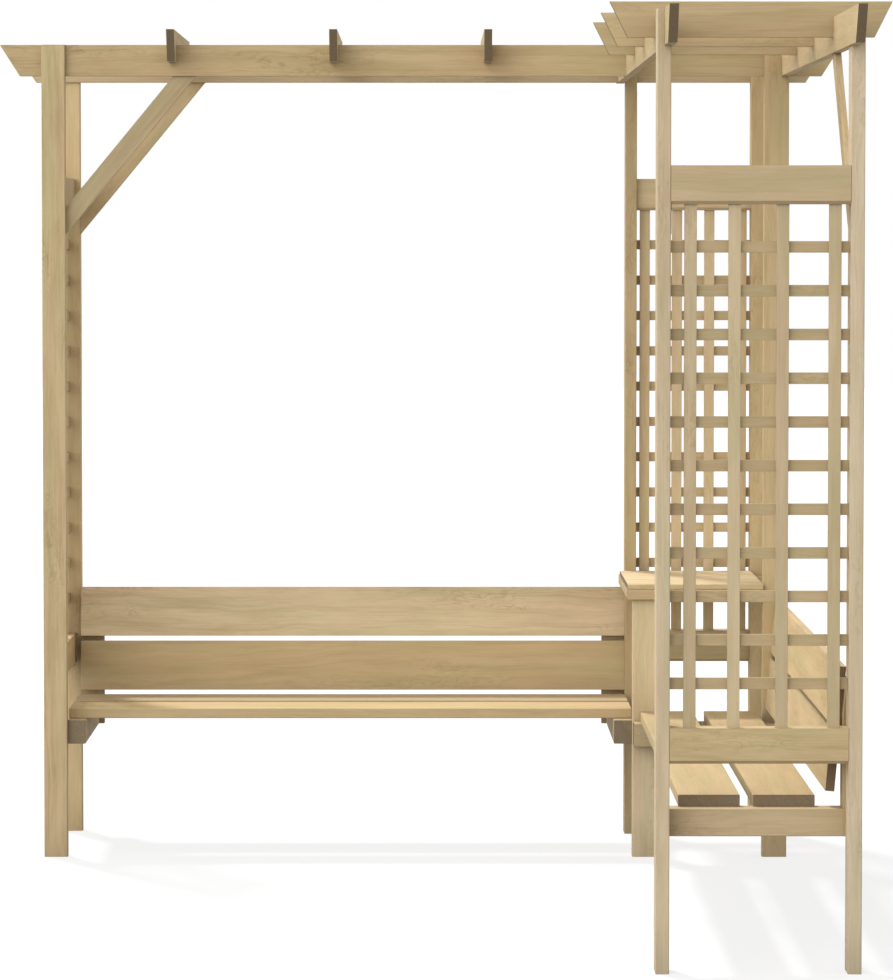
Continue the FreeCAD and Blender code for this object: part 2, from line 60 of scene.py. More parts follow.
# Joints with two screws each: the piece that shows their heads, the side they are on, the piece
# behind, and where between the joint's ends their middle lies.
JOINTS = (
    ("front_beam", ALONG_Y, "left_front_post", 0.5),
    ("front_beam", ALONG_Y, "corner_side_post", 0.34),
    ("left_back_post", ALONG_Y, "back_beam", 0.5),
    ("back_beam", ALONG_Y, "corner_rear_post", 0.5),
    ("back_beam", ALONG_Y, "corner_post", 0.34),
    ("inner_side_beam", ALONG_X, "near_inner_post", 0.5),
    ("near_outer_post", ALONG_X, "outer_side_beam", 0.5),
    ("left_back_post", ALONG_Y, "left_top_rail", 0.5),
    ("left_back_post", ALONG_Y, "left_bottom_rail", 0.5),
    ("near_outer_post", ALONG_X, "near_top_rail", 0.5),
    ("near_outer_post", ALONG_X, "near_bottom_rail", 0.5),
    ("corner_post", ALONG_X, "corner_top_rail", 0.5),
    ("corner_post", ALONG_X, "corner_bottom_rail", 0.5),
)

# Shares of a board's width at which it is screwed from behind or below.
SCREW_SHARES = (0.22, 0.76)

# The highest screw in a support stays this many margins below its top.
TOP_MARGINS = 3

# Profile of a screw's head of radius 1: radius, depth of its six lobes, height over the timber.
HEAD_PROFILE = (
    (0.80, 0.0, -0.30),
    (1.00, 0.0, 0.00),
    (0.92, 0.0, 0.10),
    (0.42, 0.08, 0.11),
    (0.38, 0.08, 0.02),
)

# Sides of the head, and lobes of its recess.
HEAD_SIDES = 24
LOBES = 6

# Fixes how far the recess of each screw is turned.
SPIN_SEED = 3

# Boards that differ from the rest: how much lighter, how much warmer, and how strong the figure is.
BOARDS = {
    "left_front_post": (0.01, 0.1, 1.8),
    "left_back_post": (0.22, -0.1, 1.0),
    "near_inner_post": (0.08, -1.5, 1.1),
    "near_outer_post": (0.29, -2.1, 1.1),
    "corner_post": (-0.01, 0.5, 1.2),
    "corner_side_post": (0.10, 0.2, 1.0),
    "corner_rear_post": (-0.05, 0.2, 1.0),
    "table_leg": (0.27, -1.2, 1.1),
    "front_beam": (0.02, 0.3, 1.3),
    "back_beam": (0.07, -0.5, 1.0),
    "inner_side_beam": (-0.05, 0.4, 1.0),
    "outer_side_beam": (0.04, 0.0, 1.0),
    "right_rafter_1": (-0.05, 0.2, 1.1),
    "right_rafter_2": (0.07, 0.0, 1.1),
    "right_rafter_3": (-0.06, 0.0, 1.1),
    "left_front_brace": (-0.04, -0.3, 1.1),
    "near_top_rail": (0.08, -0.6, 0.8),
    "near_bottom_rail": (0.05, 0.1, 1.4),
    "near_trellis_uprights": (0.07, -0.9, 1.0),
    "near_trellis_laths": (-0.04, -0.1, 1.0),
    "corner_top_rail": (0.24, -0.6, 1.0),
    "corner_trellis_uprights": (0.16, -0.6, 1.0),
    "left_upper_back_board": (0.10, -1.0, 1.4),
    "left_lower_back_board": (-0.06, 0.2, 0.9),
    "left_front_plank": (0.09, 0.3, 1.0),
    "left_rear_plank": (-0.11, -0.5, 1.0),
    "right_upper_back_board": (0.11, 0.1, 1.0),
    "right_lower_back_board": (0.12, -0.3, 1.0),
    "right_front_plank": (-0.09, 0.1, 0.6),
    "right_rear_plank": (-0.06, 0.2, 0.6),
    "right_bearer_2": (0.02, -0.5, 1.0),
    "table_board_1": (0.12, -0.4, 1.3),
    "table_board_2": (0.18, -0.5, 1.3),
    "table_board_3": (0.14, -0.4, 1.3),
    "table_front_edge": (0.05, -0.2, 1.0),
}

# Sawn ends that differ from the rest: how much lighter, and how much warmer.
END_TONES = {
    "left_bearer_1": (0.42, -0.2),
    "left_bearer_2": (0.36, -0.5),
    "right_front_plank": (0.28, -0.9),
    "right_rear_plank": (0.29, -0.9),
    "right_back_support_1": (0.40, -0.4),
}

# What boards and ends have that are not listed above.
PLAIN_BOARD = (0.0, 0.0, 1.0)
PLAIN_END = (0.0, 0.0)

# Distance between two rings of a tree, in metres.
RING_WIDTH = 0.0075

# Share of dark wood in a board on average; a stronger figure spreads further about it.
MEAN_FIGURE = 0.36

# Shares of green and of blue that one step of warmth takes out of a colour.
WARMTH_GREEN = 0.035
WARMTH_BLUE = 0.15

# Boards are cut from trees numbered from 1 up to this.
TREES = 900

# Added to a tree's number, this gives a second draw for the same tree.
SECOND_DRAW = 0.37

# How far apart the noises of two trees can lie, in metres along the grain and both ways across it.
TREE_SPAN = (9.0, 3.0, 3.0)

# The pith of a tree, in metres across the grain: its mean place, and the spans of its place, of its
# lean in a metre and of its wandering.
PITH_PLACE = (0.0, 0.03, -0.07)
PITH_SPAN = (0.0, 0.16, 0.16)
LEAN_SPAN = (0.0, 0.05, 0.05)
WANDER_SPAN = (0.0, 0.10, 0.10)

# Noises that follow the grain: waves in a metre along it and across it, detail and roughness.
GRAIN_NOISES = {
    "wander": (1.6, 2.4, 3.0, 0.5),
    "ripple": (9.0, 55.0, 3.0, 0.5),
    "coarse": (7.0, 300.0, 3.0, 0.6),
    "fine": (30.0, 1400.0, 2.0, 0.6),
    "twist": (15.0, 44.0, 3.0, 0.5),
    "curls": (3.2, 15.0, 2.0, 0.5),
    "mottle": (5.0, 24.0, 4.0, 0.6),
    "drift": (1.7, 11.0, 3.0, 0.5),
    "tint": (2.6, 26.0, 2.0, 0.5),
    "pores": (40.0, 420.0, 3.0, 0.7),
    # The next noise breaks the painted shade on the eased edges into patches.
    "edge_patches": (9.0, 60.0, 3.0, 0.5),
}

# A metre along a board changes its years as much as this share of a ring does.
YEARS_ALONG = 0.5

# Noises over a tree's years: waves in a ring, along the board and from one tree to the next, then
# detail and roughness. Bands are soft and span several rings, and lines are single rings.
YEAR_NOISES = {
    "bands": ((0.42, 1.0, 1.0), 3.0, 0.6),
    "lines": ((0.55, 3.0, 1.7), 2.0, 0.5),
}

# Values of a noise between which its effect grows from none to full.
STEPS = {
    "bands": (0.34, 0.68),
    "lines": (0.42, 0.66),
    "curls": (0.50, 0.68),
    "mottle": (0.32, 0.70),
    "drift": (0.36, 0.66),
    "tint": (0.44, 0.66),
    "pores": (0.35, 0.70),
    # The next step breaks up the painted shade on the eased edges.
    "edge_patches": (0.30, 0.62),
    "fibres": (0.42, 0.68),
}

# What each part counts for in the rings or in the fibres.
WEIGHTS = {"bands": 0.6, "lines": 0.5, "coarse": 0.6, "fine": 0.4}

# Rings by which a dark band pushes the lines aside, and the shares of a ring's width between which
# its line grows in and between which it ends.
BAND_PUSH = 1.4
LINE_GROWS = (0.10, 0.84)
LINE_ENDS = (0.86, 1.0)

# Metres by which ripples and knots push the rings aside.
RIPPLE_PUSH = 0.012
KNOT_PUSH = 0.020

# Knots: cells in a metre along the grain and across it, share of the cells without a knot, and in
# cells from its middle how far it bends the rings and where its heart fades.
KNOT_CELLS = (2.6, 7.0)
KNOT_FREE = 0.70
KNOT_REACH = 0.34
KNOT_HEART = (0.03, 0.07)

# Curls follow the middle value of a distorted noise: its distortion, and how far from that value
# they are gone.
CURL_TWIST = 1.1
CURL_FADE = 0.05

# Cosine between a face's normal and the grain at which it starts to look sawn, and fully does.
SAWN = (0.35, 0.60)

# Cosine between the eased and the flat normal at which the painted shade on an edge is full, and at
# which there is none, and the least of it that its patches leave.
EDGE_TURN = (0.80, 0.995)
LEAST_EDGE_SHADE = 0.45

# How far each effect takes the wood towards its own colour, or towards the dark wood.
SHARES = {
    "drift": 0.75,
    "tint": 0.60,
    "rings": 0.34,
    "mottle": 0.22,
    "curls": 0.34,
    "fibres": 0.22,
    "knots": 0.7,
    # Painted shade: the next share darkens the eased edges.
    "edges": 0.4,
    # Painted shade: the next share darkens the crevices, where the ambient occlusion finds other parts
    # near.
    "crevices": 0.60,
    "pores": 0.45,
    "sawn rings": 0.55,
}

# Openness at which the painted shade in a crevice is full, and at which there is none.
OPENNESS = (0.20, 0.90)

# Brightness of the darkest and of the lightest board, against the mean.
BOARD_SHADES = (0.95, 1.05)

# Relief of the fibres against that of the rings.
FIBRE_RELIEF = 0.8

# Values that a noise mostly keeps between, and the roughness at each on timber and on zinc.
NOISE_RANGE = (0.3, 0.7)
TIMBER_ROUGHNESS = (0.60, 0.78)
ZINC_ROUGHNESS = (0.38, 0.58)

# Clouds of the zinc: waves in a metre, detail and roughness, and the share of the zinc's colour
# that the dark ones have.
ZINC_CLOUDS = (700.0, 3.0, 0.6)
DARK_ZINC = 0.6

# The camera's sensor in millimetres, and how far it sees in metres.
SENSOR_WIDTH = 36
FARTHEST = 200

# The floor's colour for the light that it throws back, and as the camera sees it.
FLOOR_DIM = (0.2, 0.2, 0.2, 1)
FLOOR_WHITE = (0.9, 0.9, 0.9, 1)

WHITE = (1, 1, 1, 1)
ORIGIN = (0.0, 0.0, 0.0)


# Properties

class ArbourTimber(bpy.types.PropertyGroup):
    """Colours and figure of the planed softwood."""
    pale: FloatVectorProperty(
        name="Pale wood", description="Colour of the wide, early part of a ring",
        subtype="COLOR", size=3, min=0, max=1, default=(0.595, 0.462, 0.262))
    dark: FloatVectorProperty(
        name="Dark wood", description="Colour of the late part of a ring",
        subtype="COLOR", size=3, min=0, max=1, default=(0.380, 0.270, 0.130))
    rosy: FloatVectorProperty(
        name="Rosy drift", description="Colour that parts of a board drift towards",
        subtype="COLOR", size=3, min=0, max=1, default=(0.600, 0.432, 0.250))
    green: FloatVectorProperty(
        name="Green drift", description="Tint that the preservative leaves in parts of a board",
        subtype="COLOR", size=3, min=0, max=1, default=(0.500, 0.425, 0.220))
    end: FloatVectorProperty(
        name="End grain", description="Colour of the sawn ends",
        subtype="COLOR", size=3, min=0, max=1, default=(0.148, 0.114, 0.070))
    # Painted shade on the eased edges and in the crevices takes this colour; so do the pores of the sawn
    # ends.
    arris: FloatVectorProperty(
        name="Arris", description="Colour of the eased edges, where stain gathers",
        subtype="COLOR", size=3, min=0, max=1, default=(0.290, 0.220, 0.130))
    knot: FloatVectorProperty(
        name="Knot", description="Colour of the heart of a knot",
        subtype="COLOR", size=3, min=0, max=1, default=(0.210, 0.130, 0.065))
    ring: FloatProperty(
        name="Ring width", description="Distance between two rings of the tree",
        subtype="DISTANCE", unit="LENGTH", min=0.001, default=RING_WIDTH)
    rounding: FloatProperty(
        name="Eased edge", description="Radius to which every edge is eased",
        subtype="DISTANCE", unit="LENGTH", min=0, default=0.0017)
    # Painted shade: the reach of the ambient occlusion that darkens the crevices.
    crevice: FloatProperty(
        name="Crevice", description="How far from a joint the stain that gathers there reaches",
        subtype="DISTANCE", unit="LENGTH", min=0, default=0.12)
    relief: FloatProperty(
        name="Grain relief", description="How far the late wood stands out of a planed face",
        subtype="DISTANCE", unit="LENGTH", min=0, default=0.00012)


class ArbourScrews(bpy.types.PropertyGroup):
    """Countersunk screws on the sides that face away."""
    radius: FloatProperty(
        name="Head radius", description="Radius of a screw's head",
        subtype="DISTANCE", unit="LENGTH", min=0.001, default=0.004)
    spread: FloatProperty(
        name="Spread", description="From the middle of a joint to each of its two screws, along the joint",
        subtype="DISTANCE", unit="LENGTH", min=0, default=0.012)
    rise: FloatProperty(
        name="Rise", description="From the middle of a joint to each of its two screws, up or down",
        subtype="DISTANCE", unit="LENGTH", min=0, default=0.018)
    margin: FloatProperty(
        name="Margin", description="Least distance from a screw's middle to an edge",
        subtype="DISTANCE", unit="LENGTH", min=0, default=0.008)
    plating: FloatVectorProperty(
        name="Plating", description="Colour of the dull zinc",
        subtype="COLOR", size=3, min=0, max=1, default=(0.42, 0.40, 0.35))


class ArbourStage(bpy.types.PropertyGroup):
    """Camera, lamps and floor."""
    camera_place: FloatVectorProperty(
        name="Camera place", description="Where the camera stands",
        subtype="TRANSLATION", unit="LENGTH", size=3, default=(0.0096, -8.9502, 1.6103))
    camera_pitch: FloatProperty(
        name="Camera pitch", description="How far the camera looks down",
        subtype="ANGLE", unit="ROTATION", default=math.radians(2.236))
    lens: FloatProperty(
        name="Lens", description="Focal length for a sensor 36 mm wide", min=1, default=148.76)
    shift_x: FloatProperty(
        name="Shift across", description="Share of the width that the lens is shifted", default=0.0247)
    shift_y: FloatProperty(
        name="Shift up", description="Share of the width that the lens is shifted", default=-0.1232)
    key_direction: FloatVectorProperty(
        name="Key direction", description="Towards the main lamp",
        subtype="DIRECTION", size=3, default=(-0.27, 0.40, 0.88))
    key_strength: FloatProperty(
        name="Key strength", description="Strength of the main lamp", min=0, default=2.3)
    key_softness: FloatProperty(
        name="Key softness", description="Angle that the main lamp fills",
        subtype="ANGLE", unit="ROTATION", min=0, default=math.radians(7))
    front_direction: FloatVectorProperty(
        name="Front direction", description="Towards the soft lamp in front of the seat",
        subtype="DIRECTION", size=3, default=(-0.75, -0.65, 0.12))
    front_strength: FloatProperty(
        name="Front strength", description="Strength of the soft lamp in front", min=0, default=2.7)
    front_softness: FloatProperty(
        name="Front softness", description="Angle that the soft lamp fills",
        subtype="ANGLE", unit="ROTATION", min=0, default=math.radians(95))
    fill: FloatProperty(
        name="Fill", description="Strength of the even light all round", min=0, default=0.78)
    floor_size: FloatProperty(
        name="Floor size", description="Side of the square floor",
        subtype="DISTANCE", unit="LENGTH", min=1, default=60)
    floor_glow: FloatProperty(
        name="Floor glow", description="Share of the floor's white that shadow can't darken",
        subtype="FACTOR", min=0, max=1, default=0.7)


class ArbourSettings(bpy.types.PropertyGroup):
    """Everything that a user of the seat can change."""
    timber: PointerProperty(type=ArbourTimber)
    screws: PointerProperty(type=ArbourScrews)
    stage: PointerProperty(type=ArbourStage)
    seed: IntProperty(name="Seed", description="Picks other trees for the boards", default=7)


# Node helpers

def bare_tree(owner):
    """The emptied node tree of a material or a world."""
    owner.use_nodes = True
    owner.node_tree.nodes.clear()
    return owner.node_tree


def add(tree, kind, inputs=(), **settings):
    """Add a node, set its options, and link or fill its inputs, by name or in order."""
    node = tree.nodes.new(kind)
    for key, value in settings.items():
        setattr(node, key, value)
    values = inputs.items() if isinstance(inputs, dict) else enumerate(inputs)
    for key, value in values:
        if isinstance(value, bpy.types.NodeSocket):
            tree.links.new(value, node.inputs[key])
        else:
            node.inputs[key].default_value = value
    return node


def calc(tree, operation, *values, clamp=False):
    """One step of arithmetic on single values."""
    return add(tree, "ShaderNodeMath", values, operation=operation, use_clamp=clamp).outputs[0]


def vector_calc(tree, operation, *values):
    """One step of arithmetic on vectors."""
    node = add(tree, "ShaderNodeVectorMath", values, operation=operation)
    single = operation in ("DOT_PRODUCT", "LENGTH")
    return node.outputs["Value" if single else "Vector"]


def scaled(tree, vector, factor):
    """A vector times a value."""
    return add(tree, "ShaderNodeVectorMath", {0: vector, "Scale": factor}, operation="SCALE").outputs[0]


def centred(tree, vector):
    """Three values from 0 to 1, moved so that they lie about 0."""
    return vector_calc(tree, "SUBTRACT", vector, (0.5, 0.5, 0.5))


def ease(tree, value, low, high, start=0.0, end=1.0):
    """Map a value smoothly from one range to another."""
    inputs = (value, low, high, start, end)
    return add(tree, "ShaderNodeMapRange", inputs, interpolation_type="SMOOTHSTEP").outputs[0]


def spread(tree, value, low, high, start, end):
    """Map a value evenly from one range to another."""
    return add(tree, "ShaderNodeMapRange", (value, low, high, start, end)).outputs[0]


def blend(tree, share, first, second):
    """Mix two colours, which are inputs 6 and 7 of a Mix node, with the result at output 2."""
    return add(tree, "ShaderNodeMix", {0: share, 6: first, 7: second}, data_type="RGBA").outputs[2]


def noise(tree, vector, detail, roughness, scale=1.0, distortion=0.0):
    """Outputs of a noise."""
    inputs = {"Vector": vector, "Scale": scale, "Detail": detail, "Roughness": roughness,
              "Distortion": distortion}
    return add(tree, "ShaderNodeTexNoise", inputs).outputs


def stretched(tree, place, along, across):
    """Scale grain coordinates by one amount along the grain and another across it."""
    return vector_calc(tree, "MULTIPLY", place, (along, across, across))


def grain_noise(tree, place, name, distortion=0.0):
    """Outputs of one of the noises that follow the grain."""
    along, across, detail, roughness = GRAIN_NOISES[name]
    return noise(tree, stretched(tree, place, along, across), detail, roughness, distortion=distortion)


def patches(tree, place, name, least=0.0):
    """Where an effect shows on a board, from its least to full."""
    return ease(tree, grain_noise(tree, place, name)["Fac"], *STEPS[name], least)


def draw(tree, seed):
    """Three random values from 0 to 1 for a seed."""
    return add(tree, "ShaderNodeTexWhiteNoise", {"W": seed}, noise_dimensions="1D").outputs["Color"]


def colour(value):
    """A colour with the opacity that a node's socket needs."""
    return (*value, 1.0)


def new_group(name, inputs):
    """A shader node group with named inputs: its tree and its inputs as seen from within."""
    tree = bpy.data.node_groups.new(name, "ShaderNodeTree")
    for label, default in inputs.items():
        kind = "NodeSocketFloat" if isinstance(default, float) else "NodeSocketVector"
        tree.interface.new_socket(label, in_out="INPUT", socket_type=kind).default_value = default
    return tree, tree.nodes.new("NodeGroupInput").outputs


def give(tree, values):
    """Give a shader node group a named output for each value."""
    for label in values:
        tree.interface.new_socket(label, in_out="OUTPUT", socket_type="NodeSocketFloat")
    add(tree, "NodeGroupOutput", values)


def shared(tree, name, make, inputs):
    """Outputs of a shared group, which is made the first time it is asked for."""
    if name not in bpy.data.node_groups:
        make(name)
    return add(tree, "ShaderNodeGroup", inputs, node_tree=bpy.data.node_groups[name]).outputs


# Shared effects

def figure_group(name):
    """Rings, fibres, curls and knots of a board cut from a tree whose pith runs near it."""
    tree, given = new_group(name, {"Grain Place": ORIGIN, "Seed": 0.0, "Ring Width": RING_WIDTH})
    place, seed = given["Grain Place"], given["Seed"]
    first = centred(tree, draw(tree, seed))
    second = draw(tree, calc(tree, "ADD", seed, SECOND_DRAW))
    moved = vector_calc(tree, "ADD", place, vector_calc(tree, "MULTIPLY", first, TREE_SPAN))
    along = add(tree, "ShaderNodeSeparateXYZ", (place,)).outputs[0]

    near, heart = knots(tree, moved)
    radius = pith_distance(tree, place, moved, along, first, centred(tree, second))
    ripple = calc(tree, "SUBTRACT", grain_noise(tree, moved, "ripple")["Fac"], 0.5)
    pushed = calc(tree, "MULTIPLY_ADD", ripple, RIPPLE_PUSH, calc(tree, "MULTIPLY", near, KNOT_PUSH))
    count = calc(tree, "DIVIDE", calc(tree, "ADD", radius, pushed), given["Ring Width"])
    coarse, fine = (grain_noise(tree, moved, part)["Fac"] for part in ("coarse", "fine"))
    fine = calc(tree, "MULTIPLY", fine, WEIGHTS["fine"])
    give(tree, {
        "Rings": year_rings(tree, count, along, seed),
        "Fibres": calc(tree, "MULTIPLY_ADD", coarse, WEIGHTS["coarse"], fine),
        "Curls": curls(tree, moved),
        "Mottle": patches(tree, moved, "mottle"),
        "Drift": patches(tree, moved, "drift"),
        "Tint": patches(tree, moved, "tint"),
        "Knots": heart,
        "Tone": add(tree, "ShaderNodeSeparateColor", (second,)).outputs[1],
    })


def pith_distance(tree, place, moved, along, first, second):
    """How far a point is from the pith, which lies beside or behind the board, leans and wanders."""
    aside = vector_calc(tree, "ADD", vector_calc(tree, "MULTIPLY", first, PITH_SPAN), PITH_PLACE)
    leaned = scaled(tree, vector_calc(tree, "MULTIPLY", second, LEAN_SPAN), along)
    wander = centred(tree, grain_noise(tree, moved, "wander")["Color"])
    wandered = vector_calc(tree, "MULTIPLY", wander, WANDER_SPAN)
    pith = vector_calc(tree, "ADD", vector_calc(tree, "ADD", aside, leaned), wandered)
    offset = vector_calc(tree, "SUBTRACT", place, pith)
    return vector_calc(tree, "LENGTH", vector_calc(tree, "MULTIPLY", offset, (0.0, 1.0, 1.0)))


def knots(tree, moved):
    """Knots in some of the cells: how near one is, and where its heart is."""
    cells = add(tree, "ShaderNodeTexVoronoi",
                {"Vector": stretched(tree, moved, *KNOT_CELLS), "Scale": 1.0, "Randomness": 1.0}).outputs
    picked = add(tree, "ShaderNodeSeparateColor", (cells["Color"],)).outputs[0]
    chosen = calc(tree, "GREATER_THAN", picked, KNOT_FREE)
    near = ease(tree, cells["Distance"], 0.0, KNOT_REACH, 1.0, 0.0)
    heart = ease(tree, cells["Distance"], *KNOT_HEART, 1.0, 0.0)
    return calc(tree, "MULTIPLY", near, chosen), calc(tree, "MULTIPLY", heart, chosen)


def year_rings(tree, count, along, seed):
    """Rings whose years differ: soft bands over several, and single lines that come and go."""
    later = calc(tree, "MULTIPLY", along, YEARS_ALONG)
    years = add(tree, "ShaderNodeCombineXYZ", (count, later, seed)).outputs[0]
    shown = {}
    for name, (waves, detail, roughness) in YEAR_NOISES.items():
        place = vector_calc(tree, "MULTIPLY", years, waves)
        shown[name] = ease(tree, noise(tree, place, detail, roughness)["Fac"], *STEPS[name])
    part = calc(tree, "FRACT", calc(tree, "MULTIPLY_ADD", shown["bands"], BAND_PUSH, count))
    line = calc(tree, "MULTIPLY", ease(tree, part, *LINE_GROWS), ease(tree, part, *LINE_ENDS, 1.0, 0.0))
    lines = calc(tree, "MULTIPLY", calc(tree, "MULTIPLY", line, shown["lines"]), WEIGHTS["lines"])
    return calc(tree, "MULTIPLY_ADD", shown["bands"], WEIGHTS["bands"], lines)


def curls(tree, moved):
    """Curly figure in a few places: short lines that bend round each other."""
    twisted = grain_noise(tree, moved, "twist", CURL_TWIST)["Fac"]
    bend = calc(tree, "ABSOLUTE", calc(tree, "SUBTRACT", twisted, 0.5))
    return calc(tree, "MULTIPLY", ease(tree, bend, 0.0, CURL_FADE, 1.0, 0.0), patches(tree, moved, "curls"))


def ends_group(name):
    """Where a face cuts across the grain, and the speckle of the pores there."""
    tree, given = new_group(name, {"Normal": ORIGIN, "Grain": (1.0, 0.0, 0.0), "Grain Place": ORIGIN})
    facing = calc(tree, "ABSOLUTE", vector_calc(tree, "DOT_PRODUCT", given["Normal"], given["Grain"]))
    give(tree, {
        "Ends": ease(tree, facing, *SAWN),
        "Pores": patches(tree, given["Grain Place"], "pores"),
    })


def edges_group(name):
    """Painted shade on the eased edges: how near a point is to one, broken into patches along the grain."""
    tree, given = new_group(name, {"Rounded": ORIGIN, "Flat": ORIGIN, "Grain Place": ORIGIN})
    same = vector_calc(tree, "DOT_PRODUCT", given["Rounded"], given["Flat"])
    turned = ease(tree, same, *EDGE_TURN, 1.0, 0.0)
    # The painted shade on the edges is broken into patches here.
    patchy = patches(tree, given["Grain Place"], "edge_patches", LEAST_EDGE_SHADE)
    give(tree, {"Edges": calc(tree, "MULTIPLY", turned, patchy)})


def boards_group(name):
    """Number of the board that a point lies in, where one node holds a row of like boards."""
    tree, given = new_group(
        name, {"Place": ORIGIN, "Across": (0.0, 0.0, 1.0), "First": 0.0, "Pitch": 1.0})
    reach = vector_calc(tree, "DOT_PRODUCT", given["Place"], given["Across"])
    steps = calc(tree, "DIVIDE", calc(tree, "SUBTRACT", reach, given["First"]), given["Pitch"])
    give(tree, {"Board": calc(tree, "ROUND", steps)})


# The timber

def timber(name, grain, seed, row):
    """Planed softwood on one piece: grain along a direction, figure from a seed."""
    look = bpy.context.scene.arbour.timber
    material = bpy.data.materials.new(name + "_timber")
    tree = bare_tree(material)
    where = tree.nodes.new("ShaderNodeTexCoord").outputs
    turn = grain.rotation_difference(ALONG_X).to_euler()
    place = add(tree, "ShaderNodeMapping", {"Vector": where["Object"], "Rotation": turn}).outputs[0]

    number = seed
    if row:
        across, first, pitch = row
        board = shared(tree, "board_count", boards_group,
                       {"Place": where["Object"], "Across": across, "First": first, "Pitch": pitch})
        number = calc(tree, "ADD", board["Board"], seed)
    figure = shared(tree, "timber_figure", figure_group,
                    {"Grain Place": place, "Seed": number, "Ring Width": look.ring})
    ends = shared(tree, "end_grain", ends_group,
                  {"Normal": where["Normal"], "Grain": grain, "Grain Place": place})
    flat = tree.nodes.new("ShaderNodeNewGeometry").outputs["True Normal"]
    rounded = add(tree, "ShaderNodeBevel", {"Radius": look.rounding}, samples=4).outputs[0]
    edges = shared(tree, "eased_edges", edges_group,
                   {"Rounded": rounded, "Flat": flat, "Grain Place": place})
    # Ambient occlusion, from which shade is painted into the crevices.
    openness = add(tree, "ShaderNodeAmbientOcclusion", {"Distance": look.crevice}, samples=1).outputs["AO"]

    planed = planed_colour(tree, name, look, figure, edges["Edges"], openness)
    sawn = sawn_colour(tree, name, look, figure["Rings"], ends["Pores"])
    body = blend(tree, ends["Ends"], planed, sawn)
    fibres = calc(tree, "MULTIPLY", figure["Fibres"], FIBRE_RELIEF)
    height = calc(tree, "ADD", figure["Rings"], fibres)
    bump = add(tree, "ShaderNodeBump",
               {"Height": height, "Normal": rounded, "Distance": look.relief, "Strength": 1.0})
    rough = spread(tree, figure["Fibres"], *NOISE_RANGE, *TIMBER_ROUGHNESS)
    shader = add(tree, "ShaderNodeBsdfPrincipled",
                 {"Base Color": body, "Roughness": rough, "Normal": bump.outputs[0], "IOR": 1.45,
                  "Specular IOR Level": 0.3})
    add(tree, "ShaderNodeOutputMaterial", {"Surface": shader.outputs[0]})
    return material


def planed_colour(tree, name, look, figure, edges, openness):
    """Colour of a board's planed faces, with painted shade on its edges and in its crevices."""
    tone, warmth, strength = BOARDS.get(name, PLAIN_BOARD)
    kinds = (look.pale, look.rosy, look.green, look.dark)
    pale, rosy, green, dark = (cast(value, tone, warmth) for value in kinds)
    body = blend(tree, weakened(tree, figure["Drift"], "drift"), pale, rosy)
    body = blend(tree, weakened(tree, figure["Tint"], "tint"), body, green)
    late = weakened(tree, figure["Rings"], "rings")
    late = calc(tree, "MULTIPLY_ADD", figure["Mottle"], SHARES["mottle"], late)
    late = calc(tree, "MULTIPLY_ADD", figure["Curls"], SHARES["curls"], late)
    fibres = ease(tree, figure["Fibres"], *STEPS["fibres"], 0.0, SHARES["fibres"])
    late = calc(tree, "ADD", late, fibres)
    late = calc(tree, "MULTIPLY_ADD", late, strength, MEAN_FIGURE * (1 - strength), clamp=True)
    body = blend(tree, late, body, dark)
    body = blend(tree, weakened(tree, figure["Knots"], "knots"), body, colour(look.knot))
    body = scaled(tree, body, spread(tree, figure["Tone"], 0.0, 1.0, *BOARD_SHADES))
    # Painted shade on the eased edges.
    body = blend(tree, weakened(tree, edges, "edges"), body, colour(look.arris))
    # Painted shade in the crevices, where the ambient occlusion finds other parts near.
    painted_shade = ease(tree, openness, *OPENNESS, SHARES["crevices"], 0.0)
    return blend(tree, painted_shade, body, colour(look.arris))


def sawn_colour(tree, name, look, rings, pores):
    """Colour of a board's sawn ends."""
    sawn, pore = (cast(value, *END_TONES.get(name, PLAIN_END)) for value in (look.end, look.arris))
    cut = blend(tree, weakened(tree, pores, "pores"), sawn, pore)
    return blend(tree, weakened(tree, rings, "sawn rings"), cut, colour(look.knot))


def weakened(tree, value, effect):
    """Where an effect shows, times its share."""
    return calc(tree, "MULTIPLY", value, SHARES[effect])


def cast(value, tone, warmth):
    """One of the wood's colours on a lighter or darker, warmer or greyer board."""
    red, green, blue = (part * (1 + tone) for part in value)
    return red, green * (1 - WARMTH_GREEN * warmth), blue * (1 - WARMTH_BLUE * warmth), 1.0


def finish_piece(name, grain, row=None):
    """Give one node of the frame its own timber."""
    picker = random.Random(f"{name} {bpy.context.scene.arbour.seed}")
    seed = round(picker.uniform(1, TREES), 2)
    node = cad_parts[name]
    node.data.materials.clear()
    node.data.materials.append(timber(name, grain, seed, row))
    for face in node.data.polygons:
        face.material_index = 0


# Operators

class ARBOUR_OT_posts(bpy.types.Operator):
    """Finish the posts and the table leg"""
    bl_idname = "arbour.posts"
    bl_label = "Finish Posts"

    def execute(self, context):
        for name in ("left_front_post", "left_back_post", "near_inner_post", "near_outer_post",
                     "corner_side_post", "corner_rear_post", "corner_post", "table_leg"):
            finish_piece(name, UPRIGHT)
        return {"FINISHED"}


class ARBOUR_OT_roof(bpy.types.Operator):
    """Finish the beams, rafters and braces of the roof"""
    bl_idname = "arbour.roof"
    bl_label = "Finish Roof"

    def execute(self, context):
        for name in ("front_beam", "back_beam"):
            finish_piece(name, ALONG_X)
        for name in ("inner_side_beam", "outer_side_beam"):
            finish_piece(name, ALONG_Y)
        for number in (1, 2, 3):
            finish_piece(f"left_rafter_{number}", ALONG_Y)
            finish_piece(f"right_rafter_{number}", ALONG_X)
        for name in ("left_front_brace", "left_back_brace"):
            finish_piece(name, brace_grain(name, ALONG_X))
        for name in ("right_inner_brace", "right_outer_brace"):
            finish_piece(name, brace_grain(name, ALONG_Y))
        return {"FINISHED"}


def brace_grain(name, level):
    """Direction of a brace, from the two corners of its box."""
    low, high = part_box(name)
    span = high - low
    return Vector((span.x * level.x, span.y * level.y, span.z)).normalized()


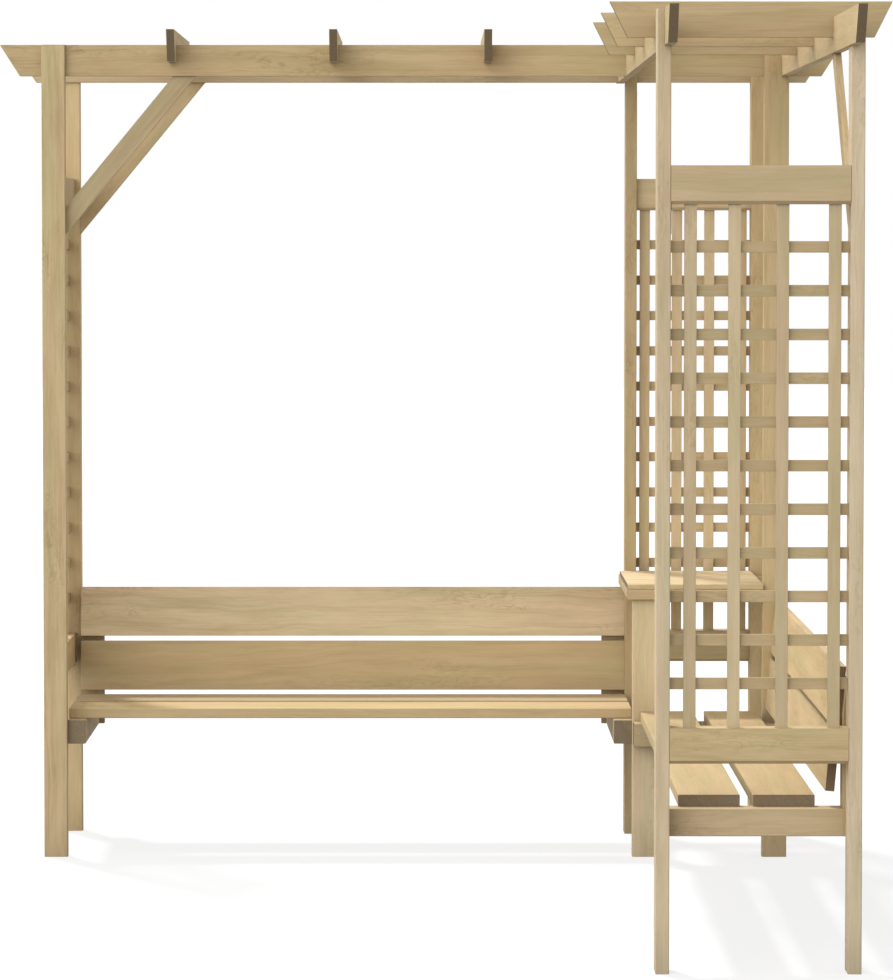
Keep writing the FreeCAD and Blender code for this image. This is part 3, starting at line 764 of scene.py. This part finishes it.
class ARBOUR_OT_trellis(bpy.types.Operator):
    """Finish the rails and slats of the three trellis panels"""
    bl_idname = "arbour.trellis"
    bl_label = "Finish Trellis"

    def execute(self, context):
        for panel, along in (("near", ALONG_X), ("left", ALONG_Y), ("corner", ALONG_X)):
            finish_piece(f"{panel}_top_rail", along)
            finish_piece(f"{panel}_bottom_rail", along)
            uprights, laths = f"{panel}_trellis_uprights", f"{panel}_trellis_laths"
            finish_piece(uprights, UPRIGHT, row=slat_row(uprights, along, UPRIGHTS))
            finish_piece(laths, along, row=slat_row(laths, UPRIGHT, LATHS))
        return {"FINISHED"}


def slat_row(name, across, count):
    """Direction, first middle and pitch of a row of equal slats."""
    low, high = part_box(name)
    first, last = low.dot(across), high.dot(across)
    wide = SLAT_SIZES[count]
    pitch = (last - first - wide) / (count - 1)
    return across, first + wide / 2, pitch


class ARBOUR_OT_benches(bpy.types.Operator):
    """Finish the seats and backs of the two benches"""
    bl_idname = "arbour.benches"
    bl_label = "Finish Benches"

    def execute(self, context):
        for bench, along, across in (("left", ALONG_X, ALONG_Y), ("right", ALONG_Y, ALONG_X)):
            for name in ("front_plank", "rear_plank", "lower_back_board", "upper_back_board"):
                finish_piece(f"{bench}_{name}", along)
            for number in (1, 2):
                finish_piece(f"{bench}_bearer_{number}", across)
                finish_piece(f"{bench}_back_support_{number}", UPRIGHT)
        return {"FINISHED"}


class ARBOUR_OT_table(bpy.types.Operator):
    """Finish the corner table"""
    bl_idname = "arbour.table"
    bl_label = "Finish Table"

    def execute(self, context):
        for name in ("board_1", "board_2", "board_3", "front_edge", "rear_bearer"):
            finish_piece(f"table_{name}", ALONG_X)
        for name in ("table_left_edge", "table_side_bearer"):
            finish_piece(name, ALONG_Y)
        return {"FINISHED"}


# Screws

def face_point(point, outward, low, high):
    """Move a point to the side of a box that faces a direction."""
    side = high if sum(outward) > 0 else low
    return Vector(side[i] if outward[i] else point[i] for i in range(3))


def shared_room(first, second):
    """The box that two pieces' boxes share."""
    (low, high), (other_low, other_high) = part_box(first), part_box(second)
    return (Vector(map(max, low, other_low)), Vector(map(min, high, other_high)))


def joint_screws(settings):
    """Two screws, one higher than the other, in each joint."""
    for shown, outward, behind, share in JOINTS:
        low, high = shared_room(shown, behind)
        along = ALONG_X if outward == ALONG_Y else ALONG_Y
        wide = (high - low).dot(along)
        middle = (low + high) / 2 + along * wide * (share - 0.5)
        aside = min(settings.spread, wide / 2 - settings.margin)
        for sign in (-1, 1):
            point = middle + sign * (along * aside - UPRIGHT * settings.rise)
            yield face_point(point, outward, *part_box(shown)), outward


def bench_screws(settings):
    """Screws through the supports into the back boards, and up through the bearers into the seat."""
    for bench, back in (("left", ALONG_Y), ("right", ALONG_X)):
        for number in (1, 2):
            support, bearer = f"{bench}_back_support_{number}", f"{bench}_bearer_{number}"
            low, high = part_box(support)
            highest = high.z - TOP_MARGINS * settings.margin
            for row in ("lower", "upper"):
                under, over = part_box(f"{bench}_{row}_back_board")
                for share in SCREW_SHARES:
                    point = (low + high) / 2
                    point.z = min(under.z + share * (over.z - under.z), highest)
                    yield face_point(point, back, low, high), back
            for row in ("front", "rear"):
                low, high = shared_room(bearer, f"{bench}_{row}_plank")
                for share in SCREW_SHARES:
                    point = (low + high) / 2 + back * (high - low).dot(back) * (share - 0.5)
                    yield face_point(point, -UPRIGHT, *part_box(bearer)), -UPRIGHT


def screw_head():
    """A countersunk head of radius 1 with a six-lobed recess, its axis along Z."""
    corners, faces = [], []
    for radius, lobe, height in HEAD_PROFILE:
        for side in range(HEAD_SIDES):
            angle = math.tau * side / HEAD_SIDES
            reach = radius + lobe * math.cos(LOBES * angle)
            corners.append((reach * math.cos(angle), reach * math.sin(angle), height))
    for ring in range(len(HEAD_PROFILE) - 1):
        start = ring * HEAD_SIDES
        for side in range(HEAD_SIDES):
            after = (side + 1) % HEAD_SIDES
            near, far = start + side, start + after
            faces.append((near, far, far + HEAD_SIDES, near + HEAD_SIDES))
    faces.append(tuple(reversed(range(HEAD_SIDES))))
    floor = (len(HEAD_PROFILE) - 1) * HEAD_SIDES
    faces.append(tuple(range(floor, floor + HEAD_SIDES)))
    mesh = bpy.data.meshes.new("screw_head")
    mesh.from_pydata(corners, [], faces)
    return mesh


def screw_tree():
    """Heads on points, each facing as its point does: the tree and its inputs' identifiers."""
    tree = bpy.data.node_groups.new("screws_on_points", "GeometryNodeTree")
    kinds = {"Points": "Geometry", "Head": "Object", "Radius": "Float", "Finish": "Material"}
    sockets = {}
    for label, kind in kinds.items():
        socket = tree.interface.new_socket(label, in_out="INPUT", socket_type="NodeSocket" + kind)
        sockets[label] = socket.identifier
    tree.interface.new_socket("Screws", in_out="OUTPUT", socket_type="NodeSocketGeometry")
    given = tree.nodes.new("NodeGroupInput").outputs
    head = add(tree, "GeometryNodeObjectInfo", {"Object": given["Head"]}).outputs["Geometry"]
    faced = add(tree, "GeometryNodeInputNamedAttribute", {"Name": "outward"}, data_type="FLOAT_VECTOR")
    # a random single value has its highest at input 3 and its result at output 1
    spin = add(tree, "FunctionNodeRandomValue", {"Seed": SPIN_SEED, 3: math.tau}, data_type="FLOAT")
    spun = add(tree, "ShaderNodeCombineXYZ", {"Z": spin.outputs[1]}).outputs[0]
    turned = add(tree, "FunctionNodeEulerToRotation", {"Euler": spun}).outputs[0]
    aimed = add(tree, "FunctionNodeAlignRotationToVector",
                {"Rotation": turned, "Vector": faced.outputs["Attribute"]}, axis="Z").outputs[0]
    placed = add(tree, "GeometryNodeInstanceOnPoints",
                 {"Points": given["Points"], "Instance": head, "Rotation": aimed, "Scale": given["Radius"]})
    solid = add(tree, "GeometryNodeRealizeInstances", {"Geometry": placed.outputs[0]}).outputs[0]
    done = add(tree, "GeometryNodeSetMaterial", {"Geometry": solid, "Material": given["Finish"]}).outputs[0]
    add(tree, "NodeGroupOutput", (done,))
    return tree, sockets


def zinc(settings):
    """Dull zinc plating, a little uneven."""
    material = bpy.data.materials.new("screw_zinc")
    tree = bare_tree(material)
    where = tree.nodes.new("ShaderNodeTexCoord").outputs["Object"]
    scale, detail, roughness = ZINC_CLOUDS
    clouds = noise(tree, where, detail, roughness, scale)["Fac"]
    dark = tuple(DARK_ZINC * part for part in settings.plating)
    plating = blend(tree, ease(tree, clouds, *NOISE_RANGE), colour(dark), colour(settings.plating))
    rough = spread(tree, clouds, *NOISE_RANGE, *ZINC_ROUGHNESS)
    shader = add(tree, "ShaderNodeBsdfPrincipled",
                 {"Base Color": plating, "Roughness": rough, "Metallic": 1.0})
    add(tree, "ShaderNodeOutputMaterial", {"Surface": shader.outputs[0]})
    return material


class ARBOUR_OT_screws(bpy.types.Operator):
    """Put in the countersunk screws on the sides that face away"""
    bl_idname = "arbour.screws"
    bl_label = "Put In Screws"

    def execute(self, context):
        settings = context.scene.arbour.screws
        places = [*joint_screws(settings), *bench_screws(settings)]
        mesh = bpy.data.meshes.new("screws")
        mesh.from_pydata([point for point, outward in places], [], [])
        faced = mesh.attributes.new("outward", "FLOAT_VECTOR", "POINT")
        for item, (point, outward) in zip(faced.data, places):
            item.vector = outward
        piece, head = put("screws", mesh), put("screw_head", screw_head())
        finish = zinc(settings)
        head.data.materials.append(finish)
        tree, sockets = screw_tree()
        modifier = piece.modifiers.new("screws", "NODES")
        modifier.node_group = tree
        modifier[sockets["Head"]] = head
        modifier[sockets["Radius"]] = settings.radius
        modifier[sockets["Finish"]] = finish
        evaluated = piece.evaluated_get(context.evaluated_depsgraph_get())
        solid = bpy.data.meshes.new_from_object(evaluated)
        piece.modifiers.clear()
        piece.data = solid
        bpy.data.objects.remove(head)
        if not solid.polygons:
            raise RuntimeError("the screws have no faces")
        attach(piece, "root")
        return {"FINISHED"}


class ARBOUR_OT_stage(bpy.types.Operator):
    """Set the camera, the lamps, the world and the floor"""
    bl_idname = "arbour.stage"
    bl_label = "Set Stage"

    def execute(self, context):
        settings = context.scene.arbour.stage
        make_camera(settings)
        make_lamps(settings)
        make_world(settings)
        make_floor(settings)
        context.scene.view_settings.view_transform = "Standard"
        return {"FINISHED"}


def put(name, data):
    """A new object in the scene."""
    thing = bpy.data.objects.new(name, data)
    bpy.context.scene.collection.objects.link(thing)
    return thing


def make_camera(settings):
    """A camera with a long, shifted lens, which looks slightly down."""
    data = bpy.data.cameras.new("camera")
    data.sensor_fit = "HORIZONTAL"
    data.sensor_width = SENSOR_WIDTH
    data.lens = settings.lens
    data.shift_x = settings.shift_x
    data.shift_y = settings.shift_y
    data.clip_end = FARTHEST
    camera = put("camera", data)
    camera.location = settings.camera_place
    camera.rotation_euler = (math.pi / 2 - settings.camera_pitch, 0, 0)
    bpy.context.scene.camera = camera


def make_lamps(settings):
    """The main lamp above and the soft lamp in front."""
    lamps = (
        ("key", settings.key_direction, settings.key_strength, settings.key_softness),
        ("front", settings.front_direction, settings.front_strength, settings.front_softness),
    )
    for name, direction, strength, softness in lamps:
        data = bpy.data.lights.new(name, "SUN")
        data.energy = strength
        data.angle = softness
        lamp = put(name, data)
        lamp.rotation_mode = "QUATERNION"
        lamp.rotation_quaternion = Vector(direction).to_track_quat("Z", "Y")


def seen_directly(tree):
    """1 where a ray comes from the camera, from gloss or through glass."""
    path = tree.nodes.new("ShaderNodeLightPath").outputs
    direct = calc(tree, "MAXIMUM", path["Is Camera Ray"], path["Is Glossy Ray"])
    return calc(tree, "MAXIMUM", direct, path["Is Transmission Ray"])


def make_world(settings):
    """Even light all round, and plain white behind the seat."""
    world = bpy.data.worlds.new("studio")
    tree = bare_tree(world)
    light = add(tree, "ShaderNodeBackground", {"Color": WHITE, "Strength": settings.fill})
    white = add(tree, "ShaderNodeBackground", {"Color": WHITE, "Strength": 1.0})
    mixed = add(tree, "ShaderNodeMixShader", (seen_directly(tree), light.outputs[0], white.outputs[0]))
    add(tree, "ShaderNodeOutputWorld", {"Surface": mixed.outputs[0]})
    bpy.context.scene.world = world


def make_floor(settings):
    """A plain white floor that still takes the seat's shadow."""
    half = settings.floor_size / 2
    mesh = bpy.data.meshes.new("floor")
    corners = [(-half, -half, 0), (half, -half, 0), (half, half, 0), (-half, half, 0)]
    mesh.from_pydata(corners, [], [(0, 1, 2, 3)])
    floor = put("floor", mesh)
    material = bpy.data.materials.new("floor")
    tree = bare_tree(material)
    seen = seen_directly(tree)
    matt = add(tree, "ShaderNodeBsdfDiffuse", {"Color": blend(tree, seen, FLOOR_DIM, FLOOR_WHITE)})
    glow = add(tree, "ShaderNodeEmission", {"Color": WHITE, "Strength": 1.0})
    share = calc(tree, "MULTIPLY", seen, settings.floor_glow)
    mixed = add(tree, "ShaderNodeMixShader", (share, matt.outputs[0], glow.outputs[0]))
    add(tree, "ShaderNodeOutputMaterial", {"Surface": mixed.outputs[0]})
    mesh.materials.append(material)


class ARBOUR_PT_panel(bpy.types.Panel):
    """Sizes and steps of the arbour seat"""
    bl_idname = "ARBOUR_PT_panel"
    bl_label = "Corner Arbour Seat"
    bl_space_type = "VIEW_3D"
    bl_region_type = "UI"
    bl_category = "Arbour"

    def draw(self, context):
        settings = context.scene.arbour
        self.layout.prop(settings, "seed")
        groups = {"Timber": settings.timber, "Screws": settings.screws, "Stage": settings.stage}
        for title, group in groups.items():
            box = self.layout.box()
            box.label(text=title)
            for key in type(group).__annotations__:
                box.prop(group, key)
        for operator in OPERATORS:
            self.layout.operator(operator.bl_idname)


OPERATORS = (
    ARBOUR_OT_posts, ARBOUR_OT_roof, ARBOUR_OT_trellis, ARBOUR_OT_benches, ARBOUR_OT_table,
    ARBOUR_OT_screws, ARBOUR_OT_stage,
)
CLASSES = (ArbourTimber, ArbourScrews, ArbourStage, ArbourSettings, *OPERATORS, ARBOUR_PT_panel)


def register():
    for item in CLASSES:
        bpy.utils.register_class(item)
    bpy.types.Scene.arbour = PointerProperty(type=ArbourSettings)


def unregister():
    del bpy.types.Scene.arbour
    for item in reversed(CLASSES):
        bpy.utils.unregister_class(item)


def main():
    register()
    bpy.ops.arbour.posts()
    bpy.ops.arbour.roof()
    bpy.ops.arbour.trellis()
    bpy.ops.arbour.benches()
    bpy.ops.arbour.table()
    bpy.ops.arbour.screws()
    bpy.ops.arbour.stage()


if __name__ == "__main__":
    main()
